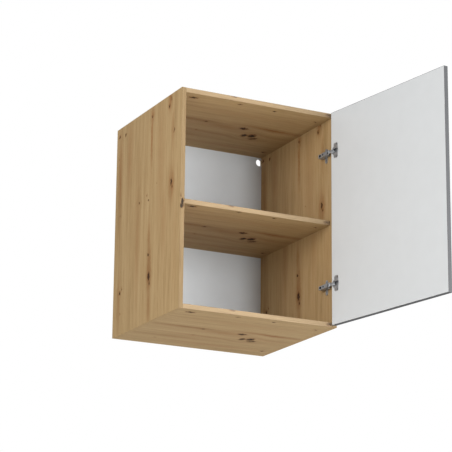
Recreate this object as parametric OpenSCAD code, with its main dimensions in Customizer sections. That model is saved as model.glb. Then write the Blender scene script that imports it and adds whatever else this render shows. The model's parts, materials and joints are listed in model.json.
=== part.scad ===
// Deep hanging wall cabinet with one shelf and one door on concealed hinges.
// Millimetres, +Z up, front towards -Y. The origin lies on the wall, midway
// between the two points where the wall hooks carry the cabinet.

/* [Cabinet] */
// Overall width over the two sides
cabinet_w = 600; // [400:10:900]
// Overall height of the sides
cabinet_h = 768; // [600:8:960]
// Depth of the carcass without the door
cabinet_d = 535; // [300:5:600]
// Thickness of every board
board_t = 16; // [16:1:19]
// Height of the shelf's underside above the cabinet's underside
shelf_z = 365; // [300:1:400]
// How far the shelf stands back from the carcass front
shelf_setback = 16; // [8:1:30]
// Distance from the rear edge to the front face of the back panel
back_inset = 9; // [8:1:12]
// Thickness of the back panel
back_t = 3; // [2.5:0.5:4]
// Thickness of the edge bands
band_t = 1; // [0.8:0.1:2]

/* [Door] */
// How far the door stands open
door_open = 98.2; // [0:0.1:105]
// Gap between the shut door's inner face and the carcass front
door_gap = 2; // [1.5:0.5:3]
// How far the door stays inside the carcass at each side edge
door_side_gap = 2; // [1:0.5:4]
// How far the door stays inside the carcass at the top and bottom
door_end_gap = 3; // [2:0.5:4]
// Height of each hinge above the door's end
hinge_from_end = 143; // [100:1:200]

/* [Hanging hardware] */
// Radius of the round holes through the back panel
hook_hole_r = 13; // [10:0.5:14]
// Distance from the side's inner face to a hook hole's centre
hook_hole_in = 9.5; // [9:0.5:20]
// Distance from the cabinet's top to a hook hole's centre
hook_hole_down = 35; // [34:1:50]
// Thickness of the steel hanger plates
hanger_t = 1.5; // [1:0.5:2.5]

/* [Hidden] */
$fn = 48;
eps = 0.01;
running = 0.06;          // radial clearance of a pin in its bore
chamfer = 0.8;           // broken edge of a banded board

W = cabinet_w;
H = cabinet_h;
D = cabinet_d;
inner_w = W - 2 * board_t;

// Back panel in its groove
back_y = D - back_inset;
groove_deep = 6;
groove_play = 0.1;
back_into_groove = 5.5;

// Horizontal boards: the height of each one's underside
bottom_z = 0;
top_z = H - board_t;

// Knock-down joints, the same on every horizontal board
cam_y = [50, D - 85];    // distance of each cam from the carcass front
dowel_y = [82, D - 117];
cam_in = 34;             // cam centre from the board's end
cam_r = 7.4;
cam_deep = 12.4;
bolt_thread_r = 2.5;
bolt_thread_l = 11;
bolt_r = 2.8;
bolt_bore_r = 4;
bolt_head_r = 3.3;
bolt_head_l = 3;
dowel_r = 4;
dowel_l = 30;
dowel_in_side = 12;

// Hanger plates, measured from the cabinet's top outer corner
hanger_margin = 2;
hanger_w = 54;
hanger_h = 64;
hook_window_r = hook_hole_r + 1;
hook_notch_w = 8;
hook_notch_h = 3;
hanger_screw_r = 1.75;
hanger_screw_head_r = 3.4;
hanger_screw_l = 24;
edge_screw_in = 7;       // distance of a hanger screw from the outer face
hanger_screws_at = [
    [edge_screw_in, edge_screw_in],
    [30, edge_screw_in],
    [48, edge_screw_in],
    [edge_screw_in, 58],
];
hook_line_down = hook_hole_down - hook_window_r - hook_notch_h;

// Door
door_w = W - 2 * door_side_gap;
door_h = H - 2 * door_end_gap;
hinge_edge_x = W - door_side_gap;
hinge_z = [door_end_gap + hinge_from_end, H - door_end_gap - hinge_from_end];

// Concealed hinge in plan, with the door shut. The outer link's two pins are
// exact pivots. The inner link has one length with the door shut and open at
// full_swing, and a short slot at its cup pin takes up what is left between.
full_swing = 98.2;
full_link_turn = -55;    // how far both links turn in that swing
link_turn = full_link_turn * door_open / full_swing;
arm_pin_1 = [W - board_t - 16.5, -2];
arm_pin_2 = arm_pin_1 + [-1.5, -6.5];
cup_pin_1 = [hinge_edge_x - 9, -door_gap - 3];
cup_pin_2 = [hinge_edge_x - 11.8, -door_gap - 4.48];
pin_r = 1;
eye_r = 2;
link_w = 1.6;
link_z = 0.3;            // each link starts this far from the hinge's middle
link_h = 5;
slot_along = 0.1;        // slot's middle line, beyond the shut pin's centre
slot_low = -0.35;        // ends of that line, across the link
slot_high = 1.7;
slot_r = pin_r + 0.6;
slot_eye_r = 2.5;

// Cup, pressed into the door's inner face
cup_r = 17.4;
cup_bore_r = 17.5;
cup_deep = 11.5;
cup_wall = 0.8;
cup_centre = [hinge_edge_x - 21.5, -door_gap];
flange_t = 1;
flange_low = -15;        // from the cup's centre, away from the hinge edge
flange_high = 6;         // and towards it
flange_half = 27.3;
flange_corner = 4;
window_low = -13.4;      // the opening for the links and the arm
window_half = 7.6;
cup_screw_dx = -9.5;     // the usual 45 / 9.5 mm screw pattern
cup_screw_z = 22.5;
cup_screw_r = 1.9;
cup_screw_head_r = 3.4;
cup_screw_l = 14;

// Arm, a channel whose web faces into the cabinet
arm_web_x = W - board_t - 21;
arm_web_t = 1.3;
arm_half = 6.9;
arm_cheek_t = 1.2;
arm_cheek_h = 8.5;
arm_web_front = 1;
arm_body_front = 12;     // from here back the cheeks reach round the rail
arm_body_h = 17;
arm_rear = 60;
nose_r = 2.6;

// Mounting plate on the side's inner face
plate_y = 37;
plate_wing_half = 26.5;
plate_wing_w = 14;
plate_t = 2.5;
plate_screw_z = 16;      // half of the usual 32 mm hole spacing
plate_screw_r = 2.4;
plate_screw_head_r = 4.4;
plate_screw_l = 13.5;
plate_pilot_r = 2.5;
plate_pilot_l = 12;
fixing_screw_r = 2;
adjusting_screw_r = 3;
rail_h = 9;
rail_half = 5.4;
rail_front = 14;
rail_rear = 54;
fixing_y = 48;
adjust_y = 29;

function turned(v, a) = [v.x * cos(a) - v.y * sin(a), v.x * sin(a) + v.y * cos(a)];
function heading(v) = atan2(v.y, v.x);

// ---------- Frames ----------

// The modules below measure X from the cabinet's left face, Y back from the
// carcass front and Z up from the underside. This puts them on the wall.
module on_wall() {
    translate([-W / 2, -D - hanger_t, hook_line_down - H]) children();
}

// Carries what is drawn on the shut door to where the open door has it
module on_door() {
    cup_pin_now = arm_pin_1 + turned(cup_pin_1 - arm_pin_1, link_turn);
    translate(cup_pin_now) rotate([0, 0, door_open]) translate(-cup_pin_1) children();
}

module turn_about(pin, angle) {
    translate(pin) rotate([0, 0, angle]) translate(-pin) children();
}

module at_hinge(i) {
    translate([0, 0, hinge_z[i]]) children();
}

// Draws a thing and its mirror image across the cabinet's middle
module both_ends() {
    children();
    translate([W, 0, 0]) mirror([1, 0, 0]) children();
}

// ---------- Shared shapes ----------

module rod(r, l) {
    cylinder(r = r, h = l);
}

// A bore or pin along +X from the point p
module along_x(p, r, l) {
    translate(p) rotate([0, 90, 0]) rod(r, l);
}

// A countersunk screw: its head's flat top is at z = 0 and it points down
module screw(head_r, head_h, shank_r, length) {
    recess_w = head_r * 0.28;
    recess_l = head_r * 1.2;
    difference() {
        rotate_extrude()
            polygon([
                [0, 0], [head_r, 0], [shank_r, -head_h],
                [shank_r, -length + shank_r], [0, -length],
            ]);
        for (a = [0, 90])
            rotate([0, 0, a])
                translate([-recess_l / 2, -recess_w / 2, -head_h * 0.6])
                    cube([recess_l, recess_w, head_h]);
    }
}

// A strip along +Z with its two outer edges broken, its outer face at y = 0
module band(length, width) {
    cut = min(chamfer, band_t * 0.8);
    linear_extrude(length)
        polygon([
            [0, cut], [cut, 0], [width - cut, 0], [width, cut],
            [width, band_t], [0, band_t],
        ]);
}

module bar_between(a, b, w) {
    translate(a)
        rotate(heading(b - a))
            translate([0, -w / 2])
                square([norm(b - a), w]);
}

// ---------- Carcass boards ----------

module side_board(hinged) {
    difference() {
        translate([0, band_t, band_t]) cube([board_t, D - band_t, H - 2 * band_t]);
        // groove for the back panel
        translate([board_t - groove_deep, back_y - groove_play, -eps])
            cube([groove_deep + eps, back_t + 2 * groove_play, H + 2 * eps]);
        for (z = [bottom_z, shelf_z, top_z]) {
            for (y = cam_y)
                along_x([board_t - bolt_thread_l, y, z + board_t / 2],
                        bolt_thread_r + running, bolt_thread_l + eps);
            for (y = dowel_y)
                along_x([board_t - dowel_in_side - 0.5, y, z + board_t / 2],
                        dowel_r + running, dowel_in_side + 0.5 + eps);
        }
        // pilot holes for the hinge plates
        if (hinged)
            for (z = hinge_z)
                for (dz = [-plate_screw_z, plate_screw_z])
                    along_x([board_t - plate_pilot_l, plate_y, z + dz],
                            plate_pilot_r, plate_pilot_l + eps);
        hanger_screw_pilots();
    }
}

module side_left() {
    color("burlywood") side_board(false);
}

module side_right() {
    color("burlywood") translate([W, 0, 0]) mirror([1, 0, 0]) side_board(true);
}

// front, lower and upper bands of the left side
module side_bands() {
    band(H, board_t);
    for (end = [0, 1])
        translate([0, band_t, end * (H - band_t)])
            cube([board_t, D - band_t, band_t]);
}

module side_left_edge_bands() {
    color("tan") side_bands();
}

module side_right_edge_bands() {
    color("tan") translate([W, 0, 0]) mirror([1, 0, 0]) side_bands();
}

// A horizontal board between the sides, from front_y back to rear_y
module flat_board(z, front_y, rear_y) {
    mid = z + board_t / 2;
    difference() {
        translate([board_t, front_y + band_t, z])
            cube([inner_w, rear_y - front_y - band_t, board_t]);
        both_ends() {
            for (y = cam_y) {
                along_x([board_t - eps, y, mid], bolt_bore_r, cam_in);
                translate([board_t + cam_in, y, z + board_t - cam_deep - 0.3])
                    cylinder(r = cam_r + running, h = cam_deep + 1);
            }
            for (y = dowel_y)
                along_x([board_t - eps, y, mid],
                        dowel_r + running, dowel_l - dowel_in_side + 0.5);
        }
    }
}

module groove_along(z) {
    translate([0, back_y - groove_play, z]) cube([W, back_t + 2 * groove_play, groove_deep + eps]);
}

module top_panel() {
    color("tan") difference() {
        flat_board(top_z, 0, D);
        groove_along(top_z - eps);
        both_ends() hanger_screw_pilots();
    }
}

module bottom_panel() {
    color("tan") difference() {
        flat_board(bottom_z, 0, D);
        groove_along(board_t - groove_deep);
    }
}

module shelf() {
    color("tan") flat_board(shelf_z, shelf_setback, back_y - groove_play);
}

module front_band(z, front_y) {
    translate([board_t, front_y, z + board_t])
        rotate([0, 90, 0])
            band(inner_w, board_t);
}

module top_edge_band() {
    color("wheat") front_band(top_z, 0);
}

module bottom_edge_band() {
    color("wheat") front_band(bottom_z, 0);
}

module shelf_edge_band() {
    color("wheat") front_band(shelf_z, shelf_setback);
}

module back_panel() {
    low = board_t - back_into_groove;
    color("gainsboro") difference() {
        translate([low, back_y, low])
            cube([W - 2 * low, back_t, H - 2 * low]);
        both_ends() hook_hole(hook_hole_r, back_y, back_t);
    }
}

// ---------- Knock-down fittings ----------

module cam_locks(z) {
    color("silver") both_ends()
        for (y = cam_y)
            translate([board_t + cam_in, y, z + board_t - cam_deep]) cam_lock();
}

// One cam: a drum with a mouth for the bolt's head and a cross slot on top
module cam_lock() {
    slot_w = 2;
    slot_deep = 2.5;
    bolt_mid = cam_deep - board_t / 2;
    difference() {
        cylinder(r = cam_r, h = cam_deep);
        along_x([-cam_r - 1, 0, bolt_mid], bolt_head_r + 0.4, cam_r + 4);
        for (a = [45, 135])
            rotate([0, 0, a])
                translate([-cam_r * 0.7, -slot_w / 2, cam_deep - slot_deep])
                    cube([cam_r * 1.4, slot_w, slot_deep + eps]);
    }
}

module cam_bolts(z) {
    collar_l = 2;
    mid = z + board_t / 2;
    color("gray") both_ends()
        for (y = cam_y) {
            along_x([board_t - bolt_thread_l + 0.2, y, mid], bolt_thread_r, bolt_thread_l - 0.2);
            along_x([board_t, y, mid], bolt_head_r, collar_l);
            along_x([board_t, y, mid], bolt_r - 0.8, cam_in);
            along_x([board_t, y, mid], bolt_r, cam_in - cam_r - 1);
            along_x([board_t + cam_in - bolt_head_l / 2, y, mid], bolt_head_r - 0.3, bolt_head_l);
        }
}

module dowels(z) {
    color("peru") both_ends()
        for (y = dowel_y)
            along_x([board_t - dowel_in_side, y, z + board_t / 2], dowel_r, dowel_l);
}

// ---------- Hanging hardware ----------

// The round hole for a wall hook at the left end
module hook_hole(r, y, t) {
    translate([board_t + hook_hole_in, y - eps, H - hook_hole_down])
        rotate([-90, 0, 0])
            rod(r, t + 2 * eps);
}

module hanger_screw_pilots() {
    for (p = hanger_screws_at)
        translate([p.x, D - hanger_screw_l, H - p.y])
            rotate([-90, 0, 0])
                rod(hanger_screw_r + running, hanger_screw_l + eps);
}

module hanger_plate() {
    corner_r = 4;
    left = hanger_margin;
    right = left + hanger_w;
    high = H - hanger_margin;
    low = high - hanger_h;
    difference() {
        // the outline's corners are quarter rounds
        union() {
            translate([left + corner_r, D, low])
                cube([hanger_w - 2 * corner_r, hanger_t, hanger_h]);
            translate([left, D, low + corner_r])
                cube([hanger_w, hanger_t, hanger_h - 2 * corner_r]);
            for (x = [left + corner_r, right - corner_r])
                for (z = [low + corner_r, high - corner_r])
                    translate([x, D, z]) rotate([-90, 0, 0]) rod(corner_r, hanger_t);
        }
        hook_hole(hook_window_r, D, hanger_t);
        translate([board_t + hook_hole_in - hook_notch_w / 2, D - eps, H - hook_hole_down])
            cube([hook_notch_w, hanger_t + 2 * eps, hook_window_r + hook_notch_h]);
        for (p = hanger_screws_at)
            translate([p.x, D, H - p.y])
                rotate([-90, 0, 0])
                    translate([0, 0, -eps])
                        cylinder(r1 = hanger_screw_r + 0.1, r2 = hanger_screw_head_r + 0.1,
                                 h = hanger_t + 2 * eps);
    }
}

module hanger_plate_left() {
    color("silver") hanger_plate();
}

module hanger_plate_right() {
    color("silver") translate([W, 0, 0]) mirror([1, 0, 0]) hanger_plate();
}

module hanger_screws() {
    for (p = hanger_screws_at)
        translate([p.x, D + hanger_t, H - p.y])
            rotate([-90, 0, 0])
                screw(hanger_screw_head_r, hanger_t, hanger_screw_r, hanger_screw_l);
}

module hanger_screws_left() {
    color("dimgray") hanger_screws();
}

module hanger_screws_right() {
    color("dimgray") translate([W, 0, 0]) mirror([1, 0, 0]) hanger_screws();
}

// ---------- Hinge: the half on the carcass ----------

face_x = W - board_t;    // inner face of the hinged side

module mounting_plate() {
    wing_mid = plate_wing_half - plate_wing_w / 2;
    color("silver") difference() {
        union() {
            // the two wings, with round ends
            translate([face_x - plate_t, plate_y - plate_wing_w / 2, -wing_mid])
                cube([plate_t, plate_wing_w, 2 * wing_mid]);
            for (z = [-wing_mid, wing_mid])
                along_x([face_x - plate_t, plate_y, z], plate_wing_w / 2, plate_t);
            // the rail that the arm slides on
            translate([face_x - rail_h, rail_front, -rail_half])
                cube([rail_h, rail_rear - rail_front, 2 * rail_half]);
        }
        for (z = [-plate_screw_z, plate_screw_z])
            translate([face_x - plate_t - eps, plate_y, z])
                rotate([0, 90, 0])
                    cylinder(r1 = plate_screw_head_r + 0.2, r2 = plate_screw_r + 0.2,
                             h = plate_t + 2 * eps);
        along_x([face_x - rail_h - eps, fixing_y, 0], fixing_screw_r + running, rail_h - 1);
    }
}

module plate_screws() {
    color("gray")
        for (z = [-plate_screw_z, plate_screw_z])
            translate([face_x - plate_t, plate_y, z])
                rotate([0, -90, 0])
                    screw(plate_screw_head_r, plate_t - 0.2, plate_screw_r, plate_screw_l);
}

// One cheek of the arm in plan, with lobes round the two pins
module cheek_outline() {
    translate([arm_web_x, arm_web_front]) square([arm_cheek_h, arm_rear - arm_web_front]);
    translate([arm_web_x, arm_body_front]) square([arm_body_h, arm_rear - arm_body_front]);
    bar_between(arm_pin_1 + [0, 6], arm_pin_1, 2 * nose_r);
    bar_between(arm_pin_1, arm_pin_2, 2 * nose_r);
    for (p = [arm_pin_1, arm_pin_2])
        translate(p) circle(nose_r);
}

module arm() {
    slot_half = 4;
    slot_w = 2 * fixing_screw_r + 0.6;
    color("silver") difference() {
        union() {
            translate([arm_web_x, arm_web_front, -arm_half])
                cube([arm_web_t, arm_rear - arm_web_front, 2 * arm_half]);
            for (z = [-arm_half, arm_half - arm_cheek_t])
                translate([0, 0, z]) linear_extrude(arm_cheek_t) cheek_outline();
        }
        for (p = [arm_pin_1, arm_pin_2])
            translate([p.x, p.y, -arm_half - 1]) rod(pin_r + running, 2 * arm_half + 2);
        // slot for the fixing screw and hole for the adjusting screw
        for (y = [fixing_y - slot_half, fixing_y + slot_half])
            along_x([arm_web_x - 1, y, 0], slot_w / 2, arm_web_t + 2);
        translate([arm_web_x - 1, fixing_y - slot_half, -slot_w / 2])
            cube([arm_web_t + 2, 2 * slot_half, slot_w]);
        along_x([arm_web_x - 1, adjust_y, 0], adjusting_screw_r + running, arm_web_t + 2);
    }
}

module arm_pins() {
    proud = 0.4;
    color("gray")
        for (p = [arm_pin_1, arm_pin_2])
            translate([p.x, p.y, -arm_half - proud]) rod(pin_r, 2 * (arm_half + proud));
}

module fixing_screw() {
    head_r = 4.2;
    head_h = 2.2;
    color("dimgray") {
        translate([arm_web_x - head_h, fixing_y, 0])
            rotate([0, -90, 0])
                pan_head(head_r, head_h);
        along_x([arm_web_x, fixing_y, 0], fixing_screw_r, face_x - arm_web_x - 2);
    }
}

// A low round head standing on z = -head_h, with a cross recess on top at z = 0
module pan_head(head_r, head_h) {
    recess_w = head_r * 0.26;
    difference() {
        rotate_extrude()
            polygon([
                [0, 0], [head_r * 0.8, 0], [head_r, -head_h * 0.35],
                [head_r, -head_h], [0, -head_h],
            ]);
        for (a = [0, 90])
            rotate([0, 0, a])
                translate([-head_r * 0.6, -recess_w / 2, -head_h * 0.6])
                    cube([head_r * 1.2, recess_w, head_h]);
    }
}

// A headless screw that stands on the rail and sets the arm's height
module adjusting_screw() {
    proud = 0.6;
    slot_w = 0.9;
    slot_l = 4.8;
    slot_deep = 1.4;
    color("dimgray") difference() {
        along_x([arm_web_x - proud, adjust_y, 0], adjusting_screw_r,
                face_x - rail_h - arm_web_x + proud);
        translate([arm_web_x - proud - eps, adjust_y - slot_l / 2, -slot_w / 2])
            cube([slot_deep, slot_l, slot_w]);
        translate([arm_web_x - proud - eps, adjust_y - slot_w / 2, -slot_l / 2])
            cube([slot_deep, slot_w, slot_l]);
    }
}

// A leaf spring folded once inside the arm
module hinge_spring() {
    leaf_t = 0.8;
    bend_r = 2.4;
    front = 1.2;
    bend_y = 22;
    mid_x = arm_web_x + 4.6;
    half_h = 2.8;
    color("lightsteelblue") translate([0, 0, -half_h]) linear_extrude(2 * half_h) {
        for (x = [mid_x - bend_r, mid_x + bend_r - leaf_t])
            translate([x, front]) square([leaf_t, bend_y - front]);
        difference() {
            translate([mid_x, bend_y]) circle(bend_r);
            translate([mid_x, bend_y]) circle(bend_r - leaf_t);
            translate([mid_x - bend_r, bend_y - 2 * bend_r]) square(2 * bend_r);
        }
    }
}

// ---------- Hinge: the links ----------

// A cranked link in plan from pin a to pin b. The crank stands out to the
// front, so that the open link reaches round the door's edge.
module link_outline(a, b, crank_at, crank_out) {
    along = (b - a) / norm(b - a);
    out = [along.y, -along.x];
    crank = a + along * norm(b - a) * crank_at + out * crank_out;
    bar_between(a, crank, link_w);
    bar_between(crank, b, link_w);
    translate(crank) circle(link_w / 2);
    for (p = [a, b])
        translate(p) circle(eye_r);
}

module outer_link() {
    color("lightgray") turn_about(arm_pin_1, link_turn)
        translate([0, 0, link_z])
            linear_extrude(link_h)
                difference() {
                    link_outline(arm_pin_1, cup_pin_1, 0.85, 6.5);
                    for (p = [arm_pin_1, cup_pin_1])
                        translate(p) circle(pin_r + running);
                }
}

module inner_link() {
    along = (cup_pin_2 - arm_pin_2) / norm(cup_pin_2 - arm_pin_2);
    out = [along.y, -along.x];
    slot_from = cup_pin_2 + along * slot_along + out * slot_low;
    slot_to = cup_pin_2 + along * slot_along + out * slot_high;
    color("lightgray") turn_about(arm_pin_2, link_turn)
        translate([0, 0, -link_z - link_h])
            linear_extrude(link_h)
                difference() {
                    union() {
                        link_outline(arm_pin_2, cup_pin_2, 0.6, 4);
                        slot_outline(slot_from, slot_to, slot_eye_r);
                    }
                    translate(arm_pin_2) circle(pin_r + running);
                    slot_outline(slot_from, slot_to, slot_r);
                }
}

// A slot with round ends, between the centres a and b
module slot_outline(a, b, r) {
    bar_between(a, b, 2 * r);
    for (p = [a, b])
        translate(p) circle(r);
}

// ---------- Hinge: the half on the door ----------

// Along -Y from the door's inner face at the cup's centre
module into_door(dx, dz, proud) {
    translate([cup_centre.x + dx, cup_centre.y + proud, dz]) rotate([90, 0, 0]) children();
}

// The cup's flat rectangular flange, with its corners cut off
module flange_outline() {
    a = flange_low;
    b = flange_high;
    h = flange_half;
    c = flange_corner;
    polygon([
        [a, c - h], [a + c, -h], [b - c, -h], [b, c - h],
        [b, h - c], [b - c, h], [a + c, h], [a, h - c],
    ]);
}

module hinge_cup() {
    inner_r = cup_r - cup_wall;
    color("silver") on_door() difference() {
        union() {
            into_door(0, 0, 0) rod(cup_r, cup_deep);
            into_door(0, 0, flange_t) linear_extrude(flange_t) flange_outline();
        }
        into_door(0, 0, -cup_wall) rod(inner_r, cup_deep - 2 * cup_wall);
        // the window through the flange and the cup's flat top
        intersection() {
            into_door(0, 0, flange_t + eps) rod(inner_r, flange_t + cup_wall + 2 * eps);
            into_door(window_low, -window_half, flange_t + 2 * eps)
                cube([inner_r - window_low, 2 * window_half, flange_t + cup_wall + 4 * eps]);
        }
        for (z = [-cup_screw_z, cup_screw_z])
            into_door(cup_screw_dx, z, flange_t + eps)
                cylinder(r1 = cup_screw_head_r + 0.2, r2 = cup_screw_head_r - 0.7,
                         h = flange_t + 2 * eps);
        cup_pin_rods(pin_r + running);
    }
}

// The first pin is in the hinge's upper half and the second in its lower half
module cup_pin_rods(r) {
    translate([cup_pin_1.x, cup_pin_1.y, 0]) rod(r, cup_r);
    translate([cup_pin_2.x, cup_pin_2.y, -cup_r]) rod(r, cup_r);
}

// The pins stand in the cup's wall, flush with its outside
module cup_pins() {
    color("gray") on_door() intersection() {
        cup_pin_rods(pin_r);
        into_door(0, 0, 0) rod(cup_r, cup_deep);
    }
}

module cup_screws() {
    color("dimgray") on_door()
        for (z = [-cup_screw_z, cup_screw_z])
            into_door(cup_screw_dx, z, flange_t)
                mirror([0, 0, 1])
                    screw(cup_screw_head_r, flange_t + 0.6, cup_screw_r, cup_screw_l);
}

// ---------- Door ----------

module door_panel() {
    low = door_end_gap + band_t;
    color("whitesmoke") on_door() difference() {
        translate([door_side_gap + band_t, -door_gap - board_t, low])
            cube([door_w - 2 * band_t, board_t, door_h - 2 * band_t]);
        for (i = [0, 1])
            at_hinge(i) {
                into_door(0, 0, eps) rod(cup_bore_r, cup_deep + 0.3);
                for (z = [-cup_screw_z, cup_screw_z])
                    into_door(cup_screw_dx, z, eps) {
                        rod(cup_screw_r + running, cup_screw_l);
                        cylinder(r1 = cup_screw_head_r + 0.2, r2 = cup_screw_r, h = 1.4);
                    }
            }
    }
}

// Bands on the four edges, each with its outer edges broken
module door_edge_bands() {
    left = door_side_gap;
    right = W - door_side_gap;
    low = door_end_gap;
    high = H - door_end_gap;
    front = -door_gap - board_t;
    color("gray") on_door() {
        translate([left, -door_gap, low]) rotate([0, 0, -90]) band(door_h, board_t);
        translate([right, front, low]) rotate([0, 0, 90]) band(door_h, board_t);
        for (end = [0, 1])
            translate([left + band_t, front, end == 0 ? low : high - band_t])
                cube([door_w - 2 * band_t, board_t, band_t]);
    }
}

// ---------- The nodes ----------

on_wall() side_left();
on_wall() side_right();
on_wall() top_panel();
on_wall() bottom_panel();
on_wall() shelf();
on_wall() back_panel();
on_wall() side_left_edge_bands();
on_wall() side_right_edge_bands();
on_wall() top_edge_band();
on_wall() bottom_edge_band();
on_wall() shelf_edge_band();
on_wall() cam_locks(top_z);  // top_cam_locks
on_wall() cam_locks(bottom_z);  // bottom_cam_locks
on_wall() cam_locks(shelf_z);  // shelf_cam_locks
on_wall() cam_bolts(top_z);  // top_cam_bolts
on_wall() cam_bolts(bottom_z);  // bottom_cam_bolts
on_wall() cam_bolts(shelf_z);  // shelf_cam_bolts
on_wall() dowels(top_z);  // top_dowels
on_wall() dowels(bottom_z);  // bottom_dowels
on_wall() dowels(shelf_z);  // shelf_dowels
on_wall() hanger_plate_left();
on_wall() hanger_plate_right();
on_wall() hanger_screws_left();
on_wall() hanger_screws_right();
on_wall() at_hinge(0) mounting_plate();  // lower_mounting_plate
on_wall() at_hinge(1) mounting_plate();  // upper_mounting_plate
on_wall() at_hinge(0) plate_screws();  // lower_plate_screws
on_wall() at_hinge(1) plate_screws();  // upper_plate_screws
on_wall() at_hinge(0) arm();  // lower_arm
on_wall() at_hinge(1) arm();  // upper_arm
on_wall() at_hinge(0) arm_pins();  // lower_arm_pins
on_wall() at_hinge(1) arm_pins();  // upper_arm_pins
on_wall() at_hinge(0) fixing_screw();  // lower_fixing_screw
on_wall() at_hinge(1) fixing_screw();  // upper_fixing_screw
on_wall() at_hinge(0) adjusting_screw();  // lower_adjusting_screw
on_wall() at_hinge(1) adjusting_screw();  // upper_adjusting_screw
on_wall() at_hinge(0) hinge_spring();  // lower_hinge_spring
on_wall() at_hinge(1) hinge_spring();  // upper_hinge_spring
on_wall() at_hinge(0) outer_link();  // lower_outer_link
on_wall() at_hinge(1) outer_link();  // upper_outer_link
on_wall() at_hinge(0) inner_link();  // lower_inner_link
on_wall() at_hinge(1) inner_link();  // upper_inner_link
on_wall() at_hinge(0) hinge_cup();  // lower_hinge_cup
on_wall() at_hinge(1) hinge_cup();  // upper_hinge_cup
on_wall() at_hinge(0) cup_pins();  // lower_cup_pins
on_wall() at_hinge(1) cup_pins();  // upper_cup_pins
on_wall() at_hinge(0) cup_screws();  // lower_cup_screws
on_wall() at_hinge(1) cup_screws();  // upper_cup_screws
on_wall() door_panel();
on_wall() door_edge_bands();
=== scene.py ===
"""The looks of a hanging wall cabinet: materials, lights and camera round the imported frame.

Metres, in the frame of the CAD model: +Z up, the wall towards +Y, the cabinet's front towards -Y.
"""

import json
import math

import bpy
from mathutils import Matrix, Vector


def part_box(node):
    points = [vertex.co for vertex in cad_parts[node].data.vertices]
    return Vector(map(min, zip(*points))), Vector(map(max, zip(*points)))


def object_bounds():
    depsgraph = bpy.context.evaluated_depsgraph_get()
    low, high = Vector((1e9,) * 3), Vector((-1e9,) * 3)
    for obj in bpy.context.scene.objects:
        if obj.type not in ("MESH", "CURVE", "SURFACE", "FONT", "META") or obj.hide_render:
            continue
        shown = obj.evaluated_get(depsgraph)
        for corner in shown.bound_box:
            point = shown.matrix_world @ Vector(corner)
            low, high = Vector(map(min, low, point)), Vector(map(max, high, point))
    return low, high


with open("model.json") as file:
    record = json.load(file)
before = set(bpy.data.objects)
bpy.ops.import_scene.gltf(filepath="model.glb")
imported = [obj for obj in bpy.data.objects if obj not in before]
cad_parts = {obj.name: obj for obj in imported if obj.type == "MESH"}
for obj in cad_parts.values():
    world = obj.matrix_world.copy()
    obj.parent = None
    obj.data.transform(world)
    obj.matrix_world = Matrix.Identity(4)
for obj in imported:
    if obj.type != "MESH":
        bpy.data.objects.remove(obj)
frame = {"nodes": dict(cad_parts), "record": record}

cad_low, cad_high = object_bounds()
middle = (cad_low + cad_high) / 2

# The boards' decor is measured from the carcass's front left lower corner.
carcass_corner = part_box("side_left_edge_bands")[0]

MM = 0.001
SKIN = 0.35 * MM        # how deep a board's decor or white face goes before the raw core shows
BAND_THICK = 1.2 * MM   # a little more than an edge band's thickness


# ---------- Colours ----------

def linear(value):
    """One sRGB channel from 0 to 255 as scene light."""
    share = value / 255
    return share / 12.92 if share <= 0.04045 else ((share + 0.055) / 1.055) ** 2.4


def srgb(red, green, blue):
    """A colour given as three sRGB channels from 0 to 255."""
    return (linear(red), linear(green), linear(blue), 1.0)


def even(light):
    """A neutral colour with the same light in its three channels."""
    return (light, light, light, 1.0)


def scaled(colour, factor):
    """A colour made lighter or darker."""
    return tuple(min(1.0, channel * factor) for channel in colour[:3]) + (1.0,)


# ---------- Short calls for shader nodes ----------

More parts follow.
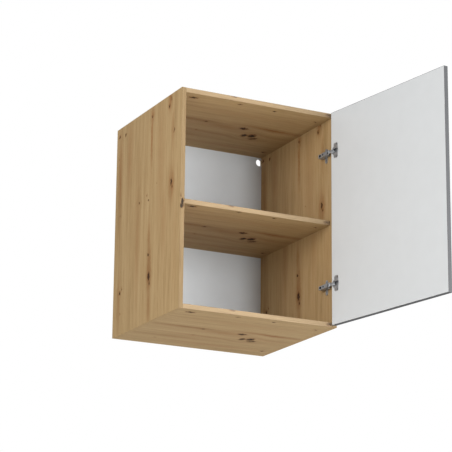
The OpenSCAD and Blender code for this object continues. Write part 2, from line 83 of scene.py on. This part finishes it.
class Tree:
    """A node tree, with one short call for each kind of node that the materials use."""

    def __init__(self, tree):
        self.tree = tree

    def fill(self, socket, value):
        """Links a socket to another node's output, or sets it to a number, colour or vector."""
        if isinstance(value, bpy.types.NodeSocket):
            self.tree.links.new(value, socket)
        else:
            socket.default_value = value

    def node(self, kind, values=(), **settings):
        """A shader node. values holds its sockets' values or links, by name or by number."""
        made = self.tree.nodes.new("ShaderNode" + kind)
        for name, setting in settings.items():
            setattr(made, name, setting)
        pairs = values.items() if isinstance(values, dict) else enumerate(values)
        for key, value in pairs:
            self.fill(made.inputs[key], value)
        return made

    def math(self, operation, *values):
        return self.node("Math", values, operation=operation).outputs[0]

    def vector(self, operation, *values):
        made = self.node("VectorMath", values, operation=operation)
        return made.outputs["Value" if operation == "DOT_PRODUCT" else "Vector"]

    def between(self, value, low, high, to_low=0.0, to_high=1.0):
        """to_low where value is at or under low, to_high from high on, and smooth between."""
        made = self.node("MapRange", (value, low, high, to_low, to_high),
                         interpolation_type="SMOOTHSTEP")
        return made.outputs[0]

    def noise(self, place, scale=1.0, detail=2.0, roughness=0.5):
        """Noise round 0.5. scale is how often it changes in a metre."""
        made = self.node("TexNoise", {
            "Vector": place, "Scale": scale, "Detail": detail, "Roughness": roughness,
        })
        return made.outputs["Fac"]

    def stretched_noise(self, place, rate, detail=2.0, roughness=0.5):
        """Noise that changes at its own rate along each axis, in changes a metre."""
        return self.noise(self.vector("MULTIPLY", place, rate), 1.0, detail, roughness)

    def chips(self, place, scale=1.0):
        """A random colour for each cell of a Voronoi pattern."""
        made = self.node("TexVoronoi", {"Vector": place, "Scale": scale})
        return made.outputs["Color"]

    def mix(self, share, first, second, blend="MIX"):
        """A mix of two colours. A Mix node's sockets share their names, so they go by number."""
        made = self.node("Mix", {0: share, 6: first, 7: second},
                         data_type="RGBA", blend_type=blend)
        return made.outputs[2]

    def mix_vectors(self, share, first, second):
        return self.node("Mix", {0: share, 4: first, 5: second}, data_type="VECTOR").outputs[1]

    def ramp(self, share, stops):
        """A colour ramp. stops is a list of (position, colour)."""
        made = self.node("ValToRGB", (share,))
        points = made.color_ramp.elements
        while len(points) < len(stops):
            points.new(0.5)
        for point, (position, colour) in zip(points, stops):
            point.position = position
            point.color = colour
        return made.outputs[0]

    def bump(self, height, distance, strength=1.0):
        values = {"Height": height, "Distance": distance, "Strength": strength}
        return self.node("Bump", values).outputs[0]

    def place(self):
        """The point on the object, in the frame's metres at rest."""
        return self.node("TexCoord").outputs["Object"]

    def split(self, vector):
        return self.node("SeparateXYZ", (vector,)).outputs

    def join(self, x, y, z=0.0):
        return self.node("CombineXYZ", (x, y, z)).outputs[0]


def new_material(name):
    """A material, its tree and its Principled shader."""
    material = bpy.data.materials.new(name)
    material.use_nodes = True
    tree = Tree(material.node_tree)
    shader = material.node_tree.nodes["Principled BSDF"]
    return material, tree, shader


def feed(tree, shader, **values):
    """Fills the shader's sockets, which are named with _ for a space."""
    for name, value in values.items():
        tree.fill(shader.inputs[name.replace("_", " ")], value)


# ---------- Oak decor ----------

# A mark is (across, along, half width, half length, strength), in millimetres but for the
# strength. On a board, across is measured back from the carcass's front edges. Along is measured
# up from the carcass's underside on a side, and from its left face on a horizontal board. Both
# sides are printed with one plank and the three horizontal boards with another.
SIDE_KNOTS = [
    (98, 728, 7, 10, 0.85),
    (85, 749, 4, 12, 0.55),
    (56, 630, 5, 8, 0.80),
    (74, 450, 7, 12, 1.00),
    (69, 436, 4, 6, 0.75),
    (237, 734, 5, 5, 0.95),
    (240, 160, 9, 15, 1.00),
    (236, 141, 3, 9, 0.70),
    (248, 237, 5, 5, 0.90),
    (329, 441, 7, 6, 0.65),
    (460, 732, 5, 6, 0.85),
    (511, 737, 10, 9, 0.60),
    (480, 152, 8, 8, 0.90),
    (468, 164, 3, 8, 0.80),
    (475, 74, 9, 3, 0.60),
    (268, 454, 4, 4, 0.80),
    (255, 432, 3, 4, 0.80),
    (190, 479, 4, 3, 0.75),
    (493, 435, 4, 4, 0.60),
    (511, 650, 4, 4, 0.55),
]
SIDE_STREAKS = [
    (92, 760, 10, 40, 0.9),
    (237, 650, 7, 110, 0.8),
    (232, 735, 9, 30, 0.8),
    (66, 640, 9, 60, 0.6),
    (74, 440, 18, 60, 0.7),
    (240, 190, 13, 90, 0.9),
    (245, 300, 9, 55, 0.6),
    (238, 60, 12, 60, 0.6),
    (500, 560, 16, 160, 0.7),
    (40, 230, 16, 150, 0.2),
    (340, 330, 18, 190, 0.4),
    (420, 640, 22, 130, 0.4),
    (160, 560, 26, 190, 0.3),
    (490, 120, 12, 90, 0.5),
    (130, 330, 20, 120, 0.3),
]
FLAT_KNOTS = [
    (40, 62, 8, 17, 1.00),
    (26, 234, 5, 8, 1.00),
    (34, 374, 5, 7, 0.95),
    (66, 554, 5, 7, 0.90),
    (243, 212, 5, 8, 0.90),
    (343, 221, 4, 5, 0.55),
    (252, 366, 12, 17, 1.00),
    (316, 402, 16, 13, 1.00),
    (310, 420, 14, 14, 1.00),
    (328, 437, 9, 14, 0.95),
    (457, 557, 6, 9, 0.80),
    (440, 120, 5, 9, 0.60),
]
FLAT_STREAKS = [
    (240, 150, 14, 120, 0.7),
    (262, 300, 20, 90, 0.6),
    (228, 470, 12, 130, 0.9),
    (345, 300, 12, 160, 0.5),
    (300, 470, 14, 130, 0.4),
    (455, 360, 16, 190, 0.5),
    (120, 330, 16, 210, 0.3),
    (395, 180, 16, 140, 0.4),
]
# A band has its own strip of the print, measured from the band's own left lower corner.
SIDE_BAND_KNOTS = [
    (8, 364, 5, 13, 1.00),
    (6, 352, 4, 8, 0.90),
    (3, 380, 2, 9, 0.60),
]
FLAT_BAND_KNOTS = [
    (14, 183, 4, 15, 0.60),
    (8, 552, 7, 13, 0.55),
    (8, 566, 6, 6, 0.90),
]

OAK_DARK = srgb(126, 99, 62)
OAK_MIDDLE = srgb(167, 139, 98)
OAK_LIGHT = srgb(184, 159, 120)
STREAK_TINT = srgb(200, 150, 100)
HALO_TINT = srgb(190, 146, 98)
KNOT_DARK = srgb(48, 34, 21)
# A grey painted sheen, mixed into the bands' front strip.
PAINTED_SHEEN_GREY = srgb(150, 141, 128)


# Changes a metre of the print's layers, (across the grain, along it, 1)
WANDER_RATE = (150, 70, 1)
DRIFT_RATE = (6, 2.2, 1)
BROAD_RATE = (26, 1.3, 1)
RING_RATE = (170, 3.4, 1)
FIBRE_RATE = (800, 16, 1)
PORE_RATE = (2300, 90, 1)
CRACK_RATE = (130, 90, 1)

# How much of the oak's light and dark comes from each layer
BROAD_SHARE = 0.26
RING_SHARE = 0.44
FIBRE_SHARE = 0.30

WANDER = Vector((18 * MM, 22 * MM, 0))   # how far the marks' outlines wander, from side to side
DRIFT = 22 * MM                          # how far the straight grain drifts sideways
KNOT_PULL = 0.55                         # how far a knot draws the grain aside, in half widths
STREAK_PULL = 0.10                       # and how far a streak does
NEAR_FALL = 0.4                          # what is left of a mark's strength at its outline
WIDE_FALL = 0.9                          # what is left there of its pull on the grain

# How far the pores and knots lie below the decor's face and the fibre above it, as shares of a
# bump's distance
PORE_DEPTH = 0.6
KNOT_DEPTH = 0.8
FIBRE_HEIGHT = 0.5


def marks_on(tree, place, wander, marks, pull):
    """How strongly the marks show at a place, and the place with the grain drawn round them.

    Each mark starts from the place that the one before it has bent, because a shader runs out of
    room where many marks are worked out side by side.
    """
    strongest = 0.0
    for across, along, half_width, half_length, strength in marks:
        scale = Vector((1 / (half_width * MM), 1 / (half_length * MM), 0))
        centre = Vector((across * MM * scale.x, along * MM * scale.y, 0))
        wandered = tree.vector("ADD", place, wander)
        offset = tree.vector("MULTIPLY_ADD", wandered, scale, -centre)
        squared = tree.vector("DOT_PRODUCT", offset, offset)
        near = tree.math("MULTIPLY", tree.math("POWER", NEAR_FALL, squared), strength)
        strongest = tree.math("MAXIMUM", near, strongest)
        wide = tree.math("POWER", WIDE_FALL, squared)
        aside = tree.math("MULTIPLY", wide, -pull * half_width * MM)
        place = tree.vector("MULTIPLY_ADD", offset, aside, place)
    return strongest, place


def oak_colour(tree, place, knots, streaks):
    """The printed oak's colour, and how high its fibre, pores and knots lie.

    place is (across the grain, along the grain, 0) in metres.
    """
    wander = tree.node("TexNoise", {"Vector": tree.vector("MULTIPLY", place, WANDER_RATE),
                                    "Scale": 1.0, "Detail": 4.0}).outputs["Color"]
    wander = tree.vector("MULTIPLY_ADD", wander, WANDER, -WANDER / 2)
    knot, bent = marks_on(tree, place, wander, knots, KNOT_PULL)
    if streaks:
        streak, bent = marks_on(tree, bent, wander, streaks, STREAK_PULL)
    drift = tree.stretched_noise(bent, DRIFT_RATE, detail=1.0)
    bent = tree.vector("ADD", bent, tree.join(tree.math("MULTIPLY", drift, DRIFT), 0.0))

    broad = tree.stretched_noise(bent, BROAD_RATE)
    ring = tree.stretched_noise(bent, RING_RATE, detail=3.0, roughness=0.65)
    fibre = tree.stretched_noise(bent, FIBRE_RATE, roughness=0.6)
    pore = tree.stretched_noise(bent, PORE_RATE, detail=1.0)

    tone = tree.math("MULTIPLY", broad, BROAD_SHARE)
    tone = tree.math("MULTIPLY_ADD", ring, RING_SHARE, tone)
    tone = tree.math("MULTIPLY_ADD", fibre, FIBRE_SHARE, tone)
    colour = tree.ramp(tone, [(0.28, OAK_DARK), (0.50, OAK_MIDDLE), (0.71, OAK_LIGHT)])

    # A streak follows the rings, and a knot has a brown halo and a dark core torn by cracks,
    # which run where their noise passes its middle value.
    if streaks:
        streak = tree.math("MULTIPLY", streak, tree.between(ring, 0.30, 0.62, 0.15, 1.0))
        colour = tree.mix(streak, colour, STREAK_TINT, "MULTIPLY")
    halo = tree.between(knot, 0.06, 0.60, 0.0, 0.70)
    colour = tree.mix(halo, colour, HALO_TINT, "MULTIPLY")
    pores = tree.between(pore, 0.66, 0.76)
    colour = tree.mix(tree.math("MULTIPLY", pores, 0.35), colour, OAK_DARK)
    crack = tree.stretched_noise(place, CRACK_RATE, detail=3.0, roughness=0.6)
    off_crack = tree.math("ABSOLUTE", tree.math("SUBTRACT", crack, 0.5))
    torn = tree.math("MULTIPLY", knot, tree.between(off_crack, 0.01, 0.07, 1.40, 0.74))
    core = tree.between(torn, 0.46, 0.66)
    colour = tree.mix(core, colour, KNOT_DARK)

    height = tree.math("MULTIPLY", fibre, FIBRE_HEIGHT)
    height = tree.math("MULTIPLY_ADD", pores, -PORE_DEPTH, height)
    height = tree.math("MULTIPLY_ADD", core, -KNOT_DEPTH, height)
    return colour, height


def decor_roughness(tree, height, deep):
    """Rough in the pores and knots, where it is called deep, and smoother on the fibre."""
    return tree.between(height, -PORE_DEPTH, FIBRE_HEIGHT, deep, 0.55)


CHIP_RATE = (260, 420, 420)   # coarse chips in a metre, a little longer along X
FINE_CHIPS = 3.1              # how many fine chips go into a coarse one's length


def chipboard(tree, place):
    """The raw core of a particle board, its colour and its height: chips of two sizes."""
    stretched = tree.vector("MULTIPLY", place, CHIP_RATE)
    coarse = tree.split(tree.chips(stretched))[0]
    fine = tree.split(tree.chips(stretched, FINE_CHIPS))[1]
    tone = tree.math("MULTIPLY_ADD", coarse, 0.6, tree.math("MULTIPLY", fine, 0.4))
    colour = tree.ramp(tone, [
        (0.10, srgb(128, 98, 66)), (0.45, srgb(176, 146, 104)), (0.85, srgb(212, 188, 148)),
    ])
    return colour, tone


AXES = {"X": 0, "Y": 1, "Z": 2}


def grain_place(tree, along, across, start):
    """(across, along, 0) from a start point, for grain that runs along the axis called along."""
    axes = tree.split(tree.vector("SUBTRACT", tree.place(), start))
    return tree.join(axes[AXES[across]], axes[AXES[along]])


def board_material(node, along, knots, streaks):
    """A board with the oak decor on its two faces and a raw core between them."""
    low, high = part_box(node)
    size = high - low
    thin = min(range(3), key=lambda i: size[i])
    across = next(axis for axis, i in AXES.items() if axis != along and i != thin)
    material, tree, shader = new_material("oak_" + node)
    place = grain_place(tree, along, across, carcass_corner)
    decor, decor_height = oak_colour(tree, place, knots, streaks)
    core, core_height = chipboard(tree, tree.place())
    level = tree.split(tree.place())[thin]
    above = tree.math("GREATER_THAN", level, low[thin] + SKIN)
    below = tree.math("LESS_THAN", level, high[thin] - SKIN)
    raw = tree.math("MULTIPLY", above, below)
    colour = tree.mix(raw, decor, core)
    printed = decor_roughness(tree, decor_height, 0.72)
    roughness = tree.math("MAXIMUM", printed, tree.math("MULTIPLY", raw, 0.85))
    decor_bump = tree.bump(decor_height, distance=0.10 * MM, strength=0.35)
    core_bump = tree.bump(core_height, distance=0.35 * MM)
    normal = tree.mix_vectors(raw, decor_bump, core_bump)
    feed(tree, shader, Base_Color=colour, Roughness=roughness, Normal=normal,
         Specular_IOR_Level=0.15)
    return material


def band_material(node, along, across, knots, light, painted_sheen_share):
    """An oak edge band, printed with its own strip of the decor.

    On the front edge the print is darkened by the factor light and greyed by the given share
    towards grey: painted shade and a painted sheen for the strong front light on that face. The
    bands on a side's two ends keep the boards' own tone.
    """
    material, tree, shader = new_material("oak_" + node)
    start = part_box(node)[0]
    place = grain_place(tree, along, across, start)
    colour, height = oak_colour(tree, place, knots, ())
    # The front strip's darker, greyer copy of the print is painted shade and a painted sheen for
    # the front light on that face.
    front = tree.math("LESS_THAN", tree.split(tree.place())[1], start.y + BAND_THICK)
    strip = tree.mix(1.0, colour, even(light), "MULTIPLY")
    strip = tree.mix(painted_sheen_share, strip, PAINTED_SHEEN_GREY)
    colour = tree.mix(front, colour, strip)
    normal = tree.bump(height, distance=0.08 * MM, strength=0.35)
    feed(tree, shader, Base_Color=colour, Roughness=decor_roughness(tree, height, 0.70),
         Normal=normal, Specular_IOR_Level=0.10)
    return material


# ---------- Plain boards ----------

PEARL_RATE = 1900              # changes a metre of a plain face's fine pearl texture
CLOUD_RATE = PEARL_RATE / 90   # and of its broad, faint clouds


def melamine(tree, place, colour, spread=0.03):
    """A plain melamine surface's colour and height. spread is how far its light varies."""
    pearl = tree.noise(place, PEARL_RATE, roughness=0.65)
    cloud = tree.noise(place, CLOUD_RATE, detail=3.0)
    tone = tree.math("MULTIPLY_ADD", pearl, 0.5, tree.math("MULTIPLY", cloud, 0.5))
    darker = scaled(colour, 1 - spread)
    lighter = scaled(colour, 1 + spread)
    return tree.ramp(tone, [(0.35, darker), (0.65, lighter)]), pearl


def pearl_roughness(tree, pearl, smooth, rough):
    """A plain face's roughness: the pearl runs between about 0.3 and 0.7."""
    return tree.between(pearl, 0.3, 0.7, smooth, rough)


def widest_normal(node):
    """The direction that the largest flat face of a node looks in."""
    faces = frame["nodes"][node].data.polygons
    return max(faces, key=lambda face: face.area).normal.copy()


def door_material():
    """White on the face towards the cabinet, grey on the front, and a raw core between."""
    inward = widest_normal("door_panel")
    panel_low, panel_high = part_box("door_panel")
    hinge_low, hinge_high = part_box("upper_hinge_cup")
    to_hinge = (hinge_low + hinge_high) / 2 - (panel_low + panel_high) / 2
    if to_hinge.dot(inward) < 0:
        inward = -inward
    vertices = frame["nodes"]["door_panel"].data.vertices
    levels = [vertex.co.dot(inward) for vertex in vertices]
    material, tree, shader = new_material("door_board")
    place = tree.place()
    white, pearl = melamine(tree, place, srgb(200, 202, 203), spread=0.015)
    grey, _ = melamine(tree, place, srgb(84, 85, 87))
    core, core_height = chipboard(tree, place)
    level = tree.vector("DOT_PRODUCT", place, inward)
    inside = tree.math("GREATER_THAN", level, max(levels) - SKIN)
    outside = tree.math("LESS_THAN", level, min(levels) + SKIN)
    colour = tree.mix(inside, tree.mix(outside, core, grey), white)
    skin = tree.math("ADD", inside, outside)
    raw = tree.math("SUBTRACT", 1.0, skin)
    height = tree.math("MULTIPLY_ADD", core_height, raw, tree.math("MULTIPLY", pearl, 0.12))
    normal = tree.bump(height, distance=0.25 * MM, strength=0.6)
    feed(tree, shader, Base_Color=colour, Roughness=pearl_roughness(tree, pearl, 0.40, 0.52),
         Normal=normal, Specular_IOR_Level=0.4)
    return material


def back_material():
    """Thin hardboard: a white face to the inside, raw brown fibre behind and on its edges."""
    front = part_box("back_panel")[0].y
    material, tree, shader = new_material("back_board")
    place = tree.place()
    white, pearl = melamine(tree, place, srgb(193, 199, 204), spread=0.02)
    fibre = tree.noise(place, scale=420, detail=4.0, roughness=0.7)
    patch = tree.noise(place, scale=14, detail=3.0)
    tone = tree.math("MULTIPLY_ADD", fibre, 0.7, tree.math("MULTIPLY", patch, 0.3))
    brown = tree.ramp(tone, [
        (0.30, srgb(104, 76, 50)), (0.50, srgb(141, 108, 75)), (0.70, srgb(172, 138, 100)),
    ])
    raw = tree.math("GREATER_THAN", tree.split(place)[1], front + SKIN)
    height = tree.math("MULTIPLY_ADD", fibre, raw, tree.math("MULTIPLY", pearl, 0.15))
    roughness = tree.math("MULTIPLY_ADD", raw, 0.3, 0.48)
    normal = tree.bump(height, distance=0.15 * MM, strength=0.6)
    feed(tree, shader, Base_Color=tree.mix(raw, white, brown), Roughness=roughness,
         Normal=normal, Specular_IOR_Level=0.35)
    return material


def plastic_band_material():
    """The door's plain grey edge band."""
    material, tree, shader = new_material("door_edge_band")
    place = tree.place()
    colour, pearl = melamine(tree, place, srgb(63, 64, 66), spread=0.04)
    feed(tree, shader, Base_Color=colour, Roughness=pearl_roughness(tree, pearl, 0.42, 0.55),
         Normal=tree.bump(pearl, distance=0.05 * MM, strength=0.5))
    return material


# ---------- Metal and beech ----------

SCRATCH_SPREAD = 0.16   # how far a metal's roughness varies with its scratches
WORN_SPREAD = 0.08      # and how much rougher it is where it is worn


def metal(name, colour, roughness, brushed=(1, 1, 1), tarnish=0.15, grain=0.02, metallic=1.0):
    """A plated or cast metal. brushed stretches its fine scratches along an axis.

    tarnish is how much darker it is where it is worn, and grain is its bump's distance in
    millimetres. metallic is under 1 where a dull film scatters some of the light.
    """
    material, tree, shader = new_material(name)
    place = tree.place()
    brushed_place = tree.vector("MULTIPLY", place, brushed)
    scratch = tree.noise(brushed_place, scale=2600, detail=3.0, roughness=0.7)
    cloud = tree.noise(place, scale=160, detail=3.0, roughness=0.6)
    worn = tree.between(cloud, 0.35, 0.70)
    shade = tree.mix(worn, colour, scaled(colour, 1 - tarnish))
    rough = tree.math("MULTIPLY_ADD", scratch, SCRATCH_SPREAD, roughness - SCRATCH_SPREAD / 2)
    rough = tree.math("MULTIPLY_ADD", worn, WORN_SPREAD, rough)
    feed(tree, shader, Base_Color=shade, Metallic=metallic, Roughness=rough,
         Normal=tree.bump(scratch, distance=grain * MM, strength=0.5))
    return material


def beech_material():
    """Raw beech with its grain along X, as the dowels lie."""
    material, tree, shader = new_material("beech")
    place = tree.place()
    grain = tree.stretched_noise(place, (60, 1200, 1200), detail=3.0)
    fleck = tree.stretched_noise(place, (600, 3000, 3000), detail=1.0)
    tone = tree.math("MULTIPLY_ADD", grain, 0.7, tree.math("MULTIPLY", fleck, 0.3))
    colour = tree.ramp(tone, [
        (0.30, srgb(168, 124, 82)), (0.55, srgb(204, 164, 118)), (0.75, srgb(222, 188, 146)),
    ])
    feed(tree, shader, Base_Color=colour, Roughness=0.7,
         Normal=tree.bump(grain, distance=0.1 * MM, strength=0.5))
    return material


# ---------- Which finish goes where ----------

def paint(node, material):
    """Gives a CAD node one material."""
    slots = frame["nodes"][node].data.materials
    slots.clear()
    slots.append(material)


for node, band_knots in (("side_left", SIDE_BAND_KNOTS), ("side_right", ())):
    paint(node, board_material(node, "Z", SIDE_KNOTS, SIDE_STREAKS))
    bands = node + "_edge_bands"
    # The factor and the grey share on the bands' front faces are painted shade and a painted
    # sheen.
    paint(bands, band_material(bands, "Z", "X", band_knots, light=0.52, painted_sheen_share=0.05))
for node in ("top_panel", "bottom_panel", "shelf"):
    paint(node, board_material(node, "X", FLAT_KNOTS, FLAT_STREAKS))
for node in ("top_edge_band", "bottom_edge_band", "shelf_edge_band"):
    # The factor and the grey share on the bands' front faces are painted shade and a painted
    # sheen.
    paint(node, band_material(node, "X", "Z", FLAT_BAND_KNOTS, light=0.68, painted_sheen_share=0.22))
paint("door_panel", door_material())
paint("door_edge_bands", plastic_band_material())
paint("back_panel", back_material())

FINISHES = {
    "nickel_steel": metal("nickel_steel", srgb(158, 160, 163), 0.34, brushed=(1, 0.2, 1),
                          metallic=0.5),
    "pin_steel": metal("pin_steel", srgb(140, 142, 145), 0.34, metallic=0.7),
    "spring_steel": metal("spring_steel", srgb(112, 118, 130), 0.36),
    "dark_steel": metal("dark_steel", srgb(52, 53, 56), 0.42, tarnish=0.3, metallic=0.7),
    "zinc_plated_steel": metal("zinc_plated_steel", srgb(200, 204, 212), 0.28),
    "cast_zinc": metal("cast_zinc", srgb(176, 178, 184), 0.46, tarnish=0.25, grain=0.05),
    "beech": beech_material(),
}
for part in frame["record"]["subparts"]:
    if part["material_slot"] in FINISHES:
        paint(part["node"], FINISHES[part["material_slot"]])


# ---------- Floor, light and camera ----------

scene = bpy.context.scene
scene.view_settings.view_transform = "Standard"

FLOOR_BELOW = 2.15   # from the cabinet's underside down to the floor
FLOOR_HALF = 30.0    # half of the floor's side


def add_object(name, data):
    """An object in the scene for a mesh, a light or a camera."""
    made = bpy.data.objects.new(name, data)
    scene.collection.objects.link(made)
    return made


def make_floor():
    """A wide pale floor, far enough below to stay out of the photo's view."""
    mesh = bpy.data.meshes.new("floor")
    height = cad_low.z - FLOOR_BELOW
    corners = [(-1, -1), (1, -1), (1, 1), (-1, 1)]
    mesh.from_pydata([(x * FLOOR_HALF, y * FLOOR_HALF, height) for x, y in corners],
                     [], [(0, 1, 2, 3)])
    floor = add_object("floor", mesh)
    material, tree, shader = new_material("pale_floor")
    speckle = tree.noise(tree.place(), scale=40)
    colour = tree.ramp(speckle, [(0.3, srgb(232, 232, 230)), (0.7, srgb(238, 238, 237))])
    feed(tree, shader, Base_Color=colour, Roughness=0.9)
    mesh.materials.append(material)


def soft_light(name, azimuth, elevation, distance, size, power):
    """A square area light that looks at the cabinet's middle. Azimuth 0 stands in front."""
    turn, rise = math.radians(azimuth), math.radians(elevation)
    away = Vector((math.sin(turn) * math.cos(rise), -math.cos(turn) * math.cos(rise),
                   math.sin(rise)))
    data = bpy.data.lights.new(name, "AREA")
    data.size = size
    data.energy = power
    light = add_object(name, data)
    light.location = middle + away * distance
    light.rotation_euler = away.to_track_quat("Z", "Y").to_euler()


def make_world(horizon, overhead, background):
    """Soft light from all round, stronger from above, and a white background for the camera."""
    world = bpy.data.worlds.new("studio")
    world.use_nodes = True
    scene.world = world
    tree = Tree(world.node_tree)
    world.node_tree.nodes.clear()
    # The third value of a direction is 0 at the horizon and 1 straight up.
    upward = tree.split(tree.node("TexCoord").outputs["Generated"])[2]
    light = tree.between(upward, 0.1, 0.5, horizon, overhead)
    lit = tree.node("Background", {"Color": even(1.0), "Strength": light}).outputs[0]
    seen = tree.node("Background", {"Color": even(background), "Strength": 1.0}).outputs[0]
    from_camera = tree.node("LightPath").outputs["Is Camera Ray"]
    shown = tree.node("MixShader", (from_camera, lit, seen)).outputs[0]
    tree.node("OutputWorld", (shown,))


make_floor()
make_world(horizon=0.24, overhead=0.56, background=1.0)
soft_light("key_light", azimuth=-58, elevation=5, distance=3.5, size=2.0, power=93)
soft_light("front_light", azimuth=19, elevation=-5, distance=3.5, size=2.1, power=222)

# The photo's view: from the front left and below, with a long lens. Angles are in degrees,
# distances in metres, and the lens and the sensor in millimetres.
CAMERA_AZIMUTH = -26.923
CAMERA_ELEVATION = -15.858
CAMERA_ROLL = 0.615
CAMERA_DISTANCE = 6.6
CAMERA_LENS = 157.5
CAMERA_SENSOR = 36
CAMERA_AIM = middle + Vector((-0.182, 0.0, -0.093))

camera_data = bpy.data.cameras.new("camera")
camera_data.lens = CAMERA_LENS
camera_data.sensor_width = CAMERA_SENSOR
camera = add_object("camera", camera_data)
camera.matrix_world = (
    Matrix.Translation(CAMERA_AIM)
    @ Matrix.Rotation(math.radians(CAMERA_AZIMUTH), 4, "Z")
    @ Matrix.Rotation(math.radians(90 - CAMERA_ELEVATION), 4, "X")
    @ Matrix.Rotation(math.radians(CAMERA_ROLL), 4, "Z")
    @ Matrix.Translation((0, 0, CAMERA_DISTANCE))
)
scene.camera = camera
